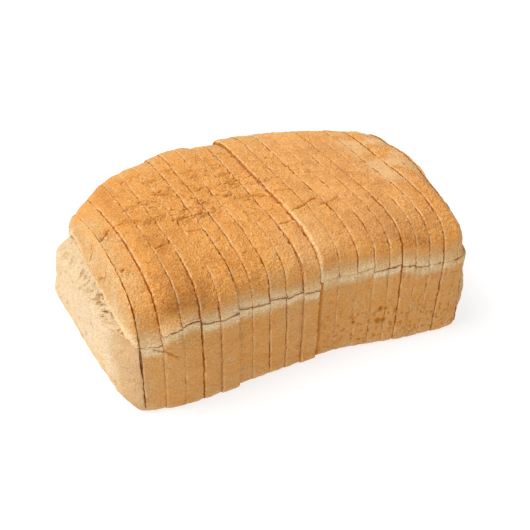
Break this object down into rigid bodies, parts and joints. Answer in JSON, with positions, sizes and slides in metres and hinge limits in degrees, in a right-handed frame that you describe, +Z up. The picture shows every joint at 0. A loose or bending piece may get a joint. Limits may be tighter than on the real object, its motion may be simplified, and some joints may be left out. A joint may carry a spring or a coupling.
{
  "type": "sliced sandwich loaf",
  "caption": "Wide tin-baked white sandwich loaf, already cut into even upright slices that still stand together as one loaf between its two heels.",
  "frame": {"origin": "middle of the bounding box in plan, on the table under the loaf", "axes": "+X along the loaf to the right heel, -Y towards the long front wall, +Z up"},
  "size_m": [0.2994, 0.2026, 0.1088],
  "materials": {
    "bread_crust": "matt baked crust, golden on top and pale at the walls, over pale crumb"
  },
  "bodies": {
    "root": {"heel_left": "bread_crust", "slice_01": "bread_crust", "slice_02": "bread_crust", "slice_03": "bread_crust", "slice_04": "bread_crust", "slice_05": "bread_crust", "slice_06": "bread_crust", "slice_07": "bread_crust", "slice_08": "bread_crust", "slice_09": "bread_crust", "slice_10": "bread_crust", "slice_11": "bread_crust", "slice_12": "bread_crust", "slice_13": "bread_crust", "slice_14": "bread_crust", "slice_15": "bread_crust", "slice_16": "bread_crust", "slice_17": "bread_crust", "slice_18": "bread_crust", "slice_19": "bread_crust", "slice_20": "bread_crust", "heel_right": "bread_crust"}
  },
  "joints": []
}
